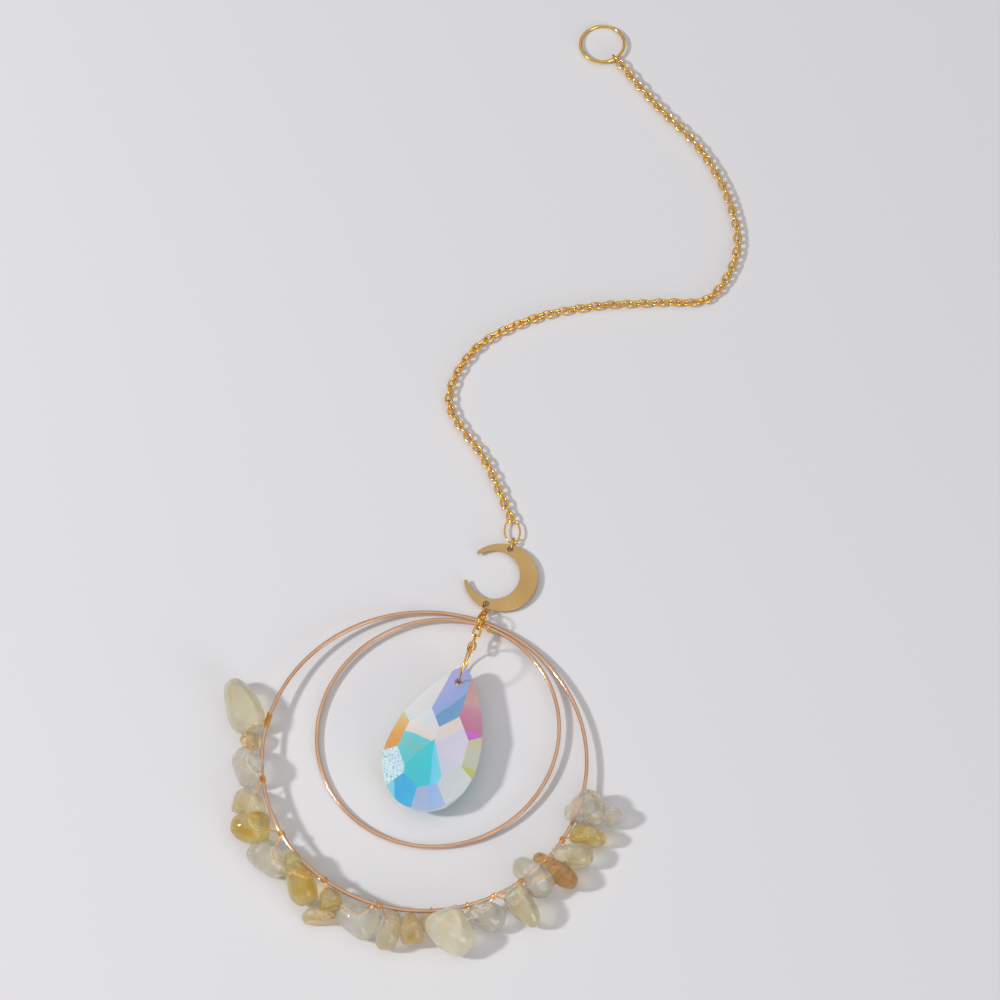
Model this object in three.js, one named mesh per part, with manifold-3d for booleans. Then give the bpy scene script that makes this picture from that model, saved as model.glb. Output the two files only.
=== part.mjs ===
// A crystal suncatcher, laid down flat: a hanging ring and a long fine chain, a brass crescent, two brass
// hoops, a faceted teardrop crystal, and a row of drilled citrine chips wired along the outer hoop.
// Millimetres, +Z up. The part lies on the plane Z = 0, the hanging ring far away (+Y), the hoops near (-Y).
import * as THREE from "three";
import { ConvexGeometry } from "three/addons/geometries/ConvexGeometry.js";
import { mergeVertices } from "three/addons/utils/BufferGeometryUtils.js";
import Module from "manifold-3d";

const wasm = await Module();
wasm.setup();

// Clearance between pieces that touch in the real object
const GAP = 0.12;

// Chain: oval links of round wire, each one turned a quarter round from the one before
const LINK_LENGTH = 2.98;
const LINK_WIDTH = 2.3;
const LINK_WIRE = 0.38;
const LINK_BITE = 0.04;
// Half length of a link's straight end, as a share of the link's width
const LINK_END_SHARE = 0.26;
const LINKS_PER_RUN = 9;
const CHAIN_LIE = LINK_WIDTH / 2 + 0.05;
// Degrees that the links lean over at the chain's ends
const CHAIN_LEAN = 20;
// The chain's S curve in plan, from the hanging ring's wire down to the last link, X and Y
const CHAIN_ROUTE = [
  [30.6, 134.2], [42.7, 117.6], [53.7, 104.3], [60.8, 89.3], [62.8, 72.6], [54.8, 58.3], [42.3, 57.1],
  [25.0, 56.0], [8.3, 52.1], [-6.5, 43.2], [-13.2, 28.1], [-3.4, 9.8], [2.7, -5.5],
];

// Hanging ring: round wire, lying on the chain's first link at its near side. Where a ring hangs in a link,
// its place there is a share of the way from the link's middle to the inside of its end.
const HANGING_RING_RADIUS = 6.0;
const HANGING_RING_WIRE = 0.8;
const HANGING_RING_HOOK = 0.25;

// Ring between the chain and the crescent, pulled into an oval
const END_RING_LENGTH = 7.0;
const END_RING_WIDTH = 4.4;
const END_RING_WIRE = 0.45;
const END_RING_TURN = -87;

// Crescent: a flat plate between two circles, open towards the upper left, with a hole near each horn
const CRESCENT_RADIUS = 9.4;
const CRESCENT_INNER_RADIUS = 6.75;
const CRESCENT_OFFSET = 2.08;
const CRESCENT_THICKNESS = 0.5;
const CRESCENT_OPENS = 158;
const CRESCENT_OPENING = 59;
const CRESCENT_HOLE_RADIUS = 0.82;
const CRESCENT_HOLE_MARGIN = 0.4;
const CRESCENT_HOLE_TURN = 85;
const CRESCENT_LIE = 1.15;

// Hoops: square brass wire. Each lies in a slightly sloping plane. The inner one is a little out of round.
const HOOP_WIRE = 0.9;
const OUTER_HOOP_RADIUS = 40;
const OUTER_HOOP_SIDES = 36;
const INNER_HOOP_RADIUS = 30;
const INNER_HOOP_SIDES = 30;
const INNER_HOOP_OVAL = 0.45;
const INNER_HOOP_OVAL_TURN = 43;
const HOOP_SPACING = 1.2;
const HOOP_HANG_TURN = 67.5;
const OUTER_HOOP_HANG_HEIGHT = 1.45;
const INNER_HOOP_HANG_HEIGHT = 2.1;
const OUTER_HOOP_SLOPE = [-0.02, -0.045];
const INNER_HOOP_SLOPE = [0.02, 0.015];
// The ring that holds both hoops stands on edge, askew to them
const HOOP_RING_RADIUS = 2.6;
const HOOP_RING_WIRE = 0.34;
const HOOP_RING_TURN = 107;
const HOOP_RING_HOOK = 0.12;
// How far the hoops lie from the ring's middle, towards their own middles
const HOOP_RING_REST = 0.2;

// The short chain from the crescent over the hoops to the crystal: its way off the crescent, the places that
// it passes after that, the first link's roll and the twist from end to end
const DROP_WAY = [-0.12, -0.88, 0.4];
const DROP_ROUTE = [[-5.0, -35.5, 4.1], [-5.8, -38.6, 4.0], [-6.7, -41.4, 4.05], [-7.15, -43.0, 4.25]];
const DROP_ROLL = 110;
const DROP_TWIST = 80;

// Ring that stands upright through the crystal's hole
const CRYSTAL_RING_RADIUS = 5.5;
const CRYSTAL_RING_WIRE = 0.5;
const CRYSTAL_RING_FACES = [0.949, -0.291, -0.06];
const CRYSTAL_RING_FOOT = 191;
const CRYSTAL_RING_HEAD = -21;
const CRYSTAL_RING_HOOK = 0.5;

// Crystal: a teardrop, length along its axis from the tip, widest at the girdle
const CRYSTAL_LENGTH = 40;
const CRYSTAL_WIDTH = 23.2;
const CRYSTAL_THICKNESS = 10.4;
const CRYSTAL_GIRDLE = 1.0;
const CRYSTAL_WIDEST = 26;
const CRYSTAL_TURN = -109.3;
const CRYSTAL_BORE_RADIUS = 1.05;
const CRYSTAL_BORE_FROM_TIP = 5.2;

// Citrine chips along the outer hoop: where each sits round the hoop in degrees, how far out its middle is
// from the hoop, its length, width and height, its length's turn from the radius, and how much it narrows.
// A bore that isn't through the chip's middle has its own place: how far round the hoop from the chip's
// middle and how far out from the hoop.
const CHIPS = [
  { at: 162.8, out: 7.5, length: 15.0, width: 7.7, height: 7.4, turn: 131, taper: 0.33, bore: [4.3, 4.8] },
  { at: 173.5, out: 3.6, length: 4.6, width: 3.6, height: 5.2, turn: 173, taper: 0.3, bore: [0.5, 3.9] },
  { at: -177.1, out: 3.3, length: 10.0, width: 7.4, height: 7.4, turn: 123, taper: 0.34 },
  { at: -164.4, out: 4.2, length: 8.2, width: 6.0, height: 6.6, turn: -40, taper: 0.33 },
  { at: -156.8, out: 6.1, length: 9.8, width: 7.3, height: 7.6, turn: 149, taper: 0.34 },
  { at: -145.1, out: 5.8, length: 10.3, width: 6.8, height: 7.2, turn: -82, taper: 0.31 },
  { at: -134.8, out: 2.8, length: 15.4, width: 5.8, height: 7.6, turn: 61, taper: 0.32 },
  { at: -121.8, out: 7.8, length: 8.0, width: 3.2, height: 5.0, turn: -58, taper: 0.34 },
  { at: -121.8, out: 3.0, length: 4.8, width: 4.4, height: 7.6, turn: 62, taper: 0.31 },
  { at: -110.9, out: 4.2, length: 10.6, width: 7.4, height: 6.8, turn: 83, taper: 0.34 },
  { at: -100.1, out: 4.6, length: 11.5, width: 4.0, height: 7.2, turn: -7, taper: 0.33 },
  { at: -93.5, out: 3.8, length: 8.2, width: 5.0, height: 7.0, turn: 9, taper: 0.33 },
  { at: -81.1, out: 5.2, length: 13.2, width: 9.4, height: 8.6, turn: -149, taper: 0.33 },
  { at: -69.6, out: 2.9, length: 10.4, width: 5.6, height: 6.6, turn: 49, taper: 0.3 },
  { at: -57.8, out: 4.8, length: 12.8, width: 5.1, height: 7.4, turn: -176, taper: 0.32 },
  { at: -49.0, out: 0.5, length: 11.6, width: 6.3, height: 7.6, turn: 4, taper: 0.32, bore: [0, 1.9] },
  { at: -42.3, out: 3.3, length: 12.8, width: 3.6, height: 7.2, turn: 5, taper: 0.34 },
  { at: -35.0, out: 3.7, length: 10.8, width: 4.7, height: 7.0, turn: 32, taper: 0.33 },
  { at: -26.9, out: 4.9, length: 9.2, width: 4.2, height: 6.6, turn: -169, taper: 0.33 },
  { at: -19.4, out: 1.7, length: 9.8, width: 7.4, height: 7.8, turn: 39, taper: 0.34, bore: [0, 2.4] },
  { at: -18.2, out: 8.7, length: 5.0, width: 3.4, height: 5.6, turn: 90, taper: 0.36 },
];
const CHIP_SQUARENESS = 0.6;
const CHIP_ROUGHNESS = 0.09;
const CHIP_CLEARANCE = 1.5 * GAP;
const CHIP_BORE_RADIUS = 0.45;

// Wrap wire: one thin wire that coils round the outer hoop between the chips and threads their bores
const WRAP_WIRE = 0.34;
const WRAP_PITCH = 0.62;
const BARE_HOOP_TURN = 150;
const WRAPS = [
  { at: 165.6, turns: 6 }, { at: -171.6, turns: 3 }, { at: -149.6, turns: 2 }, { at: -126.4, turns: 2 },
  { at: -105.4, turns: 3 }, { at: -87.2, turns: 1 }, { at: -74.6, turns: 1 }, { at: -64.8, turns: 2 },
  { at: -53.9, turns: 2 }, { at: -32.2, turns: 2 }, { at: -13.2, turns: 1 },
];

const gold = new THREE.MeshStandardMaterial({ color: 0xe8b23c, roughness: 0.25, metalness: 1 });
const brass = new THREE.MeshStandardMaterial({ color: 0xc49858, roughness: 0.45, metalness: 1 });
const copperBrass = new THREE.MeshStandardMaterial({ color: 0xc8956a, roughness: 0.3, metalness: 1 });
const crystalGlass = new THREE.MeshStandardMaterial({ color: 0xbfdcf0, roughness: 0.05, metalness: 0 });
const citrine = new THREE.MeshStandardMaterial({ color: 0xe6cf86, roughness: 0.2, metalness: 0 });

const UP = new THREE.Vector3(0, 0, 1);
const part = new THREE.Group();

function vector(x, y, z = 0) {
  return new THREE.Vector3(x, y, z);
}

// A direction in plan, in degrees from +X
function heading(degrees) {
  const angle = THREE.MathUtils.degToRad(degrees);
  return vector(Math.cos(angle), Math.sin(angle));
}

function addPiece(name, geometry, material) {
  const bare = new THREE.BufferGeometry();
  bare.setAttribute("position", geometry.getAttribute("position"));
  bare.setIndex(geometry.getIndex());
  bare.computeBoundingBox();
  const middle = bare.boundingBox.getCenter(new THREE.Vector3());
  bare.translate(-middle.x, -middle.y, -middle.z);
  bare.computeVertexNormals();
  const mesh = new THREE.Mesh(bare, material);
  mesh.name = name;
  mesh.position.copy(middle);
  part.add(mesh);
}

// Closed mesh to solid and back, for joins and cuts
function toSolid(geometry) {
  const bare = new THREE.BufferGeometry();
  bare.setAttribute("position", geometry.getAttribute("position"));
  bare.setIndex(geometry.getIndex());
  const merged = mergeVertices(bare, 1e-4);
  const vertProperties = new Float32Array(merged.getAttribute("position").array);
  const triVerts = new Uint32Array(merged.getIndex().array);
  return new wasm.Manifold(new wasm.Mesh({ numProp: 3, vertProperties, triVerts }));
}

function toGeometry(solid) {
  const mesh = solid.getMesh();
  const geometry = new THREE.BufferGeometry();
  geometry.setAttribute("position", new THREE.BufferAttribute(new Float32Array(mesh.vertProperties), 3));
  geometry.setIndex(Array.from(mesh.triVerts));
  return geometry;
}

function largestBody(solid) {
  const bodies = solid.decompose();
  return bodies.reduce((best, body) => (body.volume() > best.volume() ? body : best));
}

// The corners of a many-sided wire lie this far from its middle, so that it has a round wire's area
function wireRadius(thickness, sides) {
  return (thickness / 2) * Math.sqrt((2 * Math.PI) / (sides * Math.sin((2 * Math.PI) / sides)));
}

// The corners of a wire's section, as distances outwards and upwards from its middle. A flat faces inwards.
function wireSection(thickness, sides) {
  const corners = [];
  const radius = wireRadius(thickness, sides);
  for (let i = 0; i < sides; i += 1) {
    const angle = Math.PI + (2 * Math.PI * (i + 0.5)) / sides;
    corners.push([radius * Math.cos(angle), radius * Math.sin(angle)]);
  }
  return corners;
}

// Points of an ellipse in the plane Z = 0, with a flat and not a corner at angle zero
function ovalPoints(halfLength, halfWidth, count) {
  const points = [];
  for (let i = 0; i < count; i += 1) {
    const angle = (2 * Math.PI * (i + 0.5)) / count;
    points.push([halfLength * Math.cos(angle), halfWidth * Math.sin(angle)]);
  }
  return points;
}

// Joins the corners of neighbouring sections into a skin of triangles
function skinSections(positions, sectionCount, sides, closed) {
  const index = [];
  const spans = closed ? sectionCount : sectionCount - 1;
  for (let i = 0; i < spans; i += 1) {
    const next = (i + 1) % sectionCount;
    for (let k = 0; k < sides; k += 1) {
      const side = (k + 1) % sides;
      index.push(i * sides + k, next * sides + k, next * sides + side);
      index.push(i * sides + k, next * sides + side, i * sides + side);
    }
  }
  if (!closed) {
    const last = (sectionCount - 1) * sides;
    for (let k = 1; k < sides - 1; k += 1) {
      index.push(0, k, k + 1);
      index.push(last, last + k + 1, last + k);
    }
  }
  const geometry = new THREE.BufferGeometry();
  geometry.setAttribute("position", new THREE.BufferAttribute(new Float32Array(positions), 3));
  geometry.setIndex(index);
  return geometry;
}

// A closed flat loop of wire through points that run anticlockwise, mitred at each point
function wireLoop(points, section) {
  const positions = [];
  const count = points.length;
  for (let i = 0; i < count; i += 1) {
    const before = new THREE.Vector2(...points[(i + count - 1) % count]);
    const here = new THREE.Vector2(...points[i]);
    const after = new THREE.Vector2(...points[(i + 1) % count]);
    const enter = here.clone().sub(before).normalize();
    const leave = after.clone().sub(here).normalize();
    const along = enter.clone().add(leave).normalize();
    const outward = new THREE.Vector2(along.y, -along.x);
    const stretch = 1 / along.dot(enter);
    for (const [out, up] of section) {
      positions.push(here.x + outward.x * out * stretch, here.y + outward.y * out * stretch, up);
    }
  }
  return skinSections(positions, count, section.length, true);
}

// An open wire through points in space, mitred at each point and cut square at its ends
function wireRun(points, thickness, sides) {
  const positions = [];
  const first = points[1].clone().sub(points[0]).normalize();
  const turn = new THREE.Quaternion().setFromUnitVectors(UP, first);
  const section = wireSection(thickness, sides);
  let corners = section.map(([x, y]) => vector(y, x).applyQuaternion(turn).add(points[0]));
  corners.forEach((corner) => positions.push(corner.x, corner.y, corner.z));
  for (let i = 1; i < points.length; i += 1) {
    const enter = points[i].clone().sub(points[i - 1]).normalize();
    const leave = i + 1 < points.length ? points[i + 1].clone().sub(points[i]).normalize() : enter;
    const plane = enter.clone().add(leave).normalize();
    corners = corners.map((corner) => {
      const way = points[i].clone().sub(corner).dot(plane) / enter.dot(plane);
      return corner.clone().addScaledVector(enter, way);
    });
    corners.forEach((corner) => positions.push(corner.x, corner.y, corner.z));
  }
  return skinSections(positions, points.length, sides, false);
}

// The frame whose X axis runs along a direction and whose Y axis lies level, rolled about that direction
function frameAlong(place, direction, roll) {
  const x = direction.clone().normalize();
  const y = new THREE.Vector3().crossVectors(UP, x).normalize();
  const z = new THREE.Vector3().crossVectors(x, y);
  const angle = THREE.MathUtils.degToRad(roll);
  const rolledY = y.clone().multiplyScalar(Math.cos(angle)).addScaledVector(z, Math.sin(angle));
  const rolledZ = new THREE.Vector3().crossVectors(x, rolledY);
  return new THREE.Matrix4().makeBasis(x, rolledY, rolledZ).setPosition(place);
}

// One link: a six-sided oval of three-sided wire, with straight ends that bear on the next links
const LINK_SIDES = 3;
const LINK_END = LINK_LENGTH / 2 - wireRadius(LINK_WIRE, LINK_SIDES);
const LINK_END_HALF = LINK_WIDTH * LINK_END_SHARE;
const LINK_SIDE = LINK_WIDTH / 2 - wireRadius(LINK_WIRE, LINK_SIDES);
const LINK_REACH = LINK_END - wireRadius(LINK_WIRE, LINK_SIDES) * Math.cos(Math.PI / LINK_SIDES);
const LINK_PITCH = 2 * LINK_REACH + LINK_BITE;

function linkGeometry() {
  const corners = [
    [LINK_END, -LINK_END_HALF],
    [LINK_END, LINK_END_HALF],
    [0, LINK_SIDE],
    [-LINK_END, LINK_END_HALF],
    [-LINK_END, -LINK_END_HALF],
    [0, -LINK_SIDE],
  ];
  return wireLoop(corners, wireSection(LINK_WIRE, LINK_SIDES));
}

// Links along a curve, joined into runs of a few links each. Runs hang together with a gap at the last link.
function addLinks(name, curve, firstRoll, linksPerRun, twist) {
  const length = curve.getLength();
  let run = [];
  let runNumber = 1;
  let placeAlong = 0;
  let linkNumber = 0;
  const closeRun = (suffix) => {
    const solids = run.map((geometry) => toSolid(geometry));
    addPiece(name + suffix, toGeometry(wasm.Manifold.union(solids)), gold);
    run = [];
  };
  while (placeAlong <= length + 1e-6) {
    const share = Math.min(placeAlong / length, 1);
    const roll = firstRoll + (linkNumber % 2) * 90 + twist(share);
    const frame = frameAlong(curve.getPointAt(share), curve.getTangentAt(share), roll);
    run.push(linkGeometry().applyMatrix4(frame));
    linkNumber += 1;
    placeAlong += LINK_PITCH;
    if (run.length === linksPerRun) {
      closeRun(`_${String(runNumber).padStart(2, "0")}`);
      runNumber += 1;
      placeAlong -= LINK_BITE + GAP;
    }
  }
  if (run.length > 0) {
    closeRun(runNumber > 1 ? `_${String(runNumber).padStart(2, "0")}` : "");
  }
}

const chainPoints = CHAIN_ROUTE.map(([x, y]) => vector(x, y, CHAIN_LIE));
const chainCurve = new THREE.CatmullRomCurve3(chainPoints, false, "centripetal");
chainCurve.arcLengthDivisions = 2000;

// The links lie level and upright in the middle of the S and lean over towards its ends
function chainTwist(share) {
  return CHAIN_LEAN * Math.cos(Math.PI * share) ** 2;
}

// A stretch of a curve, by its length
class CurvePart extends THREE.Curve {
  constructor(whole, start, end) {
    super();
    this.whole = whole;
    this.start = start / whole.getLength();
    this.end = end / whole.getLength();
    this.arcLengthDivisions = 1000;
  }

  getPoint(t, target = new THREE.Vector3()) {
    return this.whole.getPointAt(this.start + t * (this.end - this.start), target);
  }
}

// The chain ends at the route's end and has a whole number of links
const linkSteps = Math.floor(chainCurve.getLength() / LINK_PITCH);
const runJoints = Math.floor(linkSteps / LINKS_PER_RUN);
const chainLength = linkSteps * LINK_PITCH - runJoints * (LINK_BITE + GAP);
const chainLine = new CurvePart(chainCurve, chainCurve.getLength() - chainLength, chainCurve.getLength());

function addHangingRing() {
  const start = chainLine.getPointAt(0);
  const away = chainLine.getTangentAt(0).negate().setZ(0).normalize();
  const nearHeight = CHAIN_LIE;
  const farHeight = HANGING_RING_WIRE / 2;
  const wireMiddle = start.clone().addScaledVector(away, HANGING_RING_HOOK * LINK_REACH);
  const centre = wireMiddle.addScaledVector(away, HANGING_RING_RADIUS).setZ((nearHeight + farHeight) / 2);
  const slope = vector(away.x, away.y, (farHeight - nearHeight) / 2 / HANGING_RING_RADIUS);
  const points = ovalPoints(HANGING_RING_RADIUS, HANGING_RING_RADIUS, 16);
  const geometry = wireLoop(points, wireSection(HANGING_RING_WIRE, 6));
  addPiece("hanging_ring", geometry.applyMatrix4(frameAlong(centre, slope, 0)), gold);
}

addHangingRing();
addLinks("chain_run", chainLine, 90, LINKS_PER_RUN, chainTwist);

// Each piece below the chain takes its place from the one above it
const chainEnd = chainLine.getPointAt(1);
const endRingHeading = heading(END_RING_TURN);
const endRingLift = LINK_REACH - END_RING_WIRE / 2 - GAP;
const endRingTop = chainEnd.clone().addScaledVector(chainLine.getTangentAt(1), endRingLift);
const endRingHalf = (END_RING_LENGTH - END_RING_WIRE) / 2;
const endRingCentre = endRingTop.clone().addScaledVector(endRingHeading, endRingHalf);

function addEndRing() {
  const halfWidth = (END_RING_WIDTH - END_RING_WIRE) / 2;
  const geometry = wireLoop(ovalPoints(endRingHalf, halfWidth, 10), wireSection(END_RING_WIRE, 3));
  addPiece("chain_end_ring", geometry.applyMatrix4(frameAlong(endRingCentre, endRingHeading, 0)), gold);
}

addEndRing();

const holeFromMiddle = CRESCENT_RADIUS - CRESCENT_HOLE_MARGIN - CRESCENT_HOLE_RADIUS;
const upperHoleWay = heading(CRESCENT_OPENS - CRESCENT_HOLE_TURN);
const lowerHoleWay = heading(CRESCENT_OPENS + CRESCENT_HOLE_TURN);
const linkFromCrescent = CRESCENT_RADIUS - CRESCENT_HOLE_MARGIN + LINK_REACH - GAP;

// The crescent's upper link holds the end ring's lower wire and the crescent's edge
const crescentLinkPlace = endRingCentre
  .clone()
  .addScaledVector(endRingHeading, endRingHalf - END_RING_WIRE / 2 - GAP)
  .addScaledVector(upperHoleWay, -(LINK_REACH - END_RING_WIRE - GAP));
const crescentCentre = crescentLinkPlace
  .clone()
  .addScaledVector(upperHoleWay, -linkFromCrescent)
  .setZ(CRESCENT_LIE);

function addCrescentLink() {
  const frame = frameAlong(crescentLinkPlace, upperHoleWay, 90);
  addPiece("crescent_link", linkGeometry().applyMatrix4(frame), gold);
}

addCrescentLink();

// The end of a horn, half the horn's width beyond its last points on the two circles
function hornTip(outerPoint, innerPoint) {
  const across = outerPoint.clone().sub(innerPoint);
  const bulge = vector(-across.y, across.x).multiplyScalar(0.5);
  if (bulge.dot(heading(CRESCENT_OPENS)) < 0) {
    bulge.negate();
  }
  return outerPoint.clone().add(innerPoint).multiplyScalar(0.5).add(bulge);
}

function addCrescent() {
  const opens = THREE.MathUtils.degToRad(CRESCENT_OPENS);
  const half = THREE.MathUtils.degToRad(CRESCENT_OPENING / 2);
  const inner = heading(CRESCENT_OPENS).multiplyScalar(CRESCENT_OFFSET);
  const horns = [-0.5, 0.5].map((share) => {
    const outerPoint = heading(CRESCENT_OPENS + share * CRESCENT_OPENING).multiplyScalar(CRESCENT_RADIUS);
    const way = outerPoint.clone().sub(inner).normalize();
    const innerPoint = inner.clone().addScaledVector(way, CRESCENT_INNER_RADIUS);
    return { turn: Math.atan2(way.y, way.x), tip: hornTip(outerPoint, innerPoint) };
  });
  const outline = new THREE.Shape();
  outline.absarc(0, 0, CRESCENT_RADIUS, opens + half, opens - half + 2 * Math.PI, false);
  outline.lineTo(horns[0].tip.x, horns[0].tip.y);
  outline.absarc(inner.x, inner.y, CRESCENT_INNER_RADIUS, horns[0].turn, horns[1].turn - 2 * Math.PI, true);
  outline.lineTo(horns[1].tip.x, horns[1].tip.y);
  for (const way of [upperHoleWay, lowerHoleWay]) {
    const hole = new THREE.Path();
    hole.absarc(way.x * holeFromMiddle, way.y * holeFromMiddle, CRESCENT_HOLE_RADIUS, 0, 2 * Math.PI, true);
    outline.holes.push(hole);
  }
  const options = { depth: CRESCENT_THICKNESS, bevelEnabled: false, curveSegments: 7 };
  const geometry = new THREE.ExtrudeGeometry(outline, options);
  geometry.translate(crescentCentre.x, crescentCentre.y, crescentCentre.z - CRESCENT_THICKNESS / 2);
  addPiece("crescent", toGeometry(toSolid(geometry)), brass);
}

addCrescent();

// The ring that holds the hoops together hangs in the drop chain's second link
const dropWay = vector(...DROP_WAY).normalize();
const dropStart = crescentCentre
  .clone()
  .addScaledVector(lowerHoleWay, CRESCENT_RADIUS - CRESCENT_HOLE_MARGIN)
  .addScaledVector(dropWay, LINK_REACH - 2 * GAP);
const dropHold = dropStart.clone().addScaledVector(dropWay, LINK_PITCH);
const hoopRingHeight = HOOP_RING_RADIUS + HOOP_RING_WIRE / 2 + GAP / 2;
const hoopRingHook = dropHold.clone().addScaledVector(dropWay, HOOP_RING_HOOK * LINK_REACH);
const hoopRingLift = hoopRingHook.z - hoopRingHeight;
const hoopRingReach = Math.sqrt(HOOP_RING_RADIUS ** 2 - hoopRingLift ** 2);
const hoopRingWay = heading(HOOP_RING_TURN);
const hoopRingCentre = hoopRingHook.addScaledVector(hoopRingWay, -hoopRingReach).setZ(hoopRingHeight);

function addHoopRing() {
  const points = ovalPoints(HOOP_RING_RADIUS, HOOP_RING_RADIUS, 12);
  const geometry = wireLoop(points, wireSection(HOOP_RING_WIRE, 3));
  const upright = 90;
  addPiece("hoop_jump_ring", geometry.applyMatrix4(frameAlong(hoopRingCentre, hoopRingWay, upright)), gold);
}

addHoopRing();

// Each hoop's frame has the hoop's middle as its origin and the hoop's own slope
const hangWay = heading(HOOP_HANG_TURN);

function hoopFrame(radius, out, height, slope) {
  const wire = hoopRingCentre.clone().addScaledVector(hangWay, out - HOOP_RING_REST);
  const centre = wire.addScaledVector(hangWay, -radius);
  centre.z = height - radius * (slope[0] * hangWay.x + slope[1] * hangWay.y);
  const normal = vector(-slope[0], -slope[1], 1).normalize();
  const turn = new THREE.Quaternion().setFromUnitVectors(UP, normal);
  return new THREE.Matrix4().compose(centre, turn, vector(1, 1, 1));
}

// Square wire, its sides level and upright
function hoopGeometry(points) {
  const half = HOOP_WIRE / 2;
  return wireLoop(points, [[half, half], [-half, half], [-half, -half], [half, -half]]);
}

// The oval's radius where it hangs
const innerHangTurn = THREE.MathUtils.degToRad(HOOP_HANG_TURN - INNER_HOOP_OVAL_TURN);
const innerHangRadius = INNER_HOOP_RADIUS + INNER_HOOP_OVAL * Math.cos(2 * innerHangTurn);
const outerFrame = hoopFrame(OUTER_HOOP_RADIUS, HOOP_SPACING / 2, OUTER_HOOP_HANG_HEIGHT, OUTER_HOOP_SLOPE);
const innerFrame = hoopFrame(innerHangRadius, -HOOP_SPACING / 2, INNER_HOOP_HANG_HEIGHT, INNER_HOOP_SLOPE);

function addHoops() {
  const round = ovalPoints(OUTER_HOOP_RADIUS, OUTER_HOOP_RADIUS, OUTER_HOOP_SIDES);
  addPiece("outer_hoop", hoopGeometry(round).applyMatrix4(outerFrame), copperBrass);
  const longest = INNER_HOOP_RADIUS + INNER_HOOP_OVAL;
  const shortest = INNER_HOOP_RADIUS - INNER_HOOP_OVAL;
  const oval = ovalPoints(longest, shortest, INNER_HOOP_SIDES);
  const turned = hoopGeometry(oval).rotateZ(THREE.MathUtils.degToRad(INNER_HOOP_OVAL_TURN));
  addPiece("inner_hoop", turned.applyMatrix4(innerFrame), copperBrass);
}

addHoops();

// A short chain drops from the crescent's lower hole, over the hoops, to the crystal's ring
const dropPoints = [dropStart, dropHold, ...DROP_ROUTE.map((place) => vector(...place))];
const dropCurve = new THREE.CatmullRomCurve3(dropPoints, false, "centripetal");
const dropSteps = Math.floor(dropCurve.getLength() / LINK_PITCH);
const dropLine = new CurvePart(dropCurve, 0, dropSteps * LINK_PITCH);
addLinks("drop_chain", dropLine, DROP_ROLL, dropSteps + 2, (share) => DROP_TWIST * share);

// The ring through the crystal stands on edge, its head in the drop chain's last link
const crystalRingNormal = vector(...CRYSTAL_RING_FACES).normalize();
const crystalRingAcross = new THREE.Vector3().crossVectors(UP, crystalRingNormal).normalize();
const crystalRingUp = new THREE.Vector3().crossVectors(crystalRingNormal, crystalRingAcross);

function alongCrystalRing(degrees) {
  const angle = THREE.MathUtils.degToRad(degrees);
  const across = crystalRingAcross.clone().multiplyScalar(CRYSTAL_RING_RADIUS * Math.cos(angle));
  return across.addScaledVector(crystalRingUp, CRYSTAL_RING_RADIUS * Math.sin(angle));
}

const crystalRingHead = dropLine
  .getPointAt(1)
  .addScaledVector(dropLine.getTangentAt(1), CRYSTAL_RING_HOOK * LINK_REACH);
const crystalRingCentre = crystalRingHead.sub(alongCrystalRing(CRYSTAL_RING_HEAD));

function addCrystalRing() {
  const points = ovalPoints(CRYSTAL_RING_RADIUS, CRYSTAL_RING_RADIUS, 18);
  const geometry = wireLoop(points, wireSection(CRYSTAL_RING_WIRE, 4));
  const frame = new THREE.Matrix4().makeBasis(crystalRingAcross, crystalRingUp, crystalRingNormal);
  addPiece("crystal_jump_ring", geometry.applyMatrix4(frame.setPosition(crystalRingCentre)), gold);
}

addCrystalRing();

// Half width of the teardrop at a distance from its tip
function crystalHalfWidth(along) {
  const half = CRYSTAL_WIDTH / 2;
  if (along < CRYSTAL_WIDEST) {
    return half * Math.sin((Math.PI / 2) * (along / CRYSTAL_WIDEST) ** 0.85);
  }
  const past = (along - CRYSTAL_WIDEST) / (CRYSTAL_LENGTH - CRYSTAL_WIDEST);
  return half * Math.sqrt(Math.max(0, 1 - past ** 2));
}

// Facet corners on one side of the girdle: distance from the tip, half width and height, as shares
const CRYSTAL_CROWN = [
  { along: 0.365, across: 0.36, height: 0.8 },
  { along: 0.485, across: 0, height: 0.97 },
  { along: 0.53, across: 0.68, height: 0.78 },
  { along: 0.57, across: 0, height: 1 },
  { along: 0.785, across: 0.46, height: 0.86 },
  { along: 0.885, across: 0, height: 0.72 },
];

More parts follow.
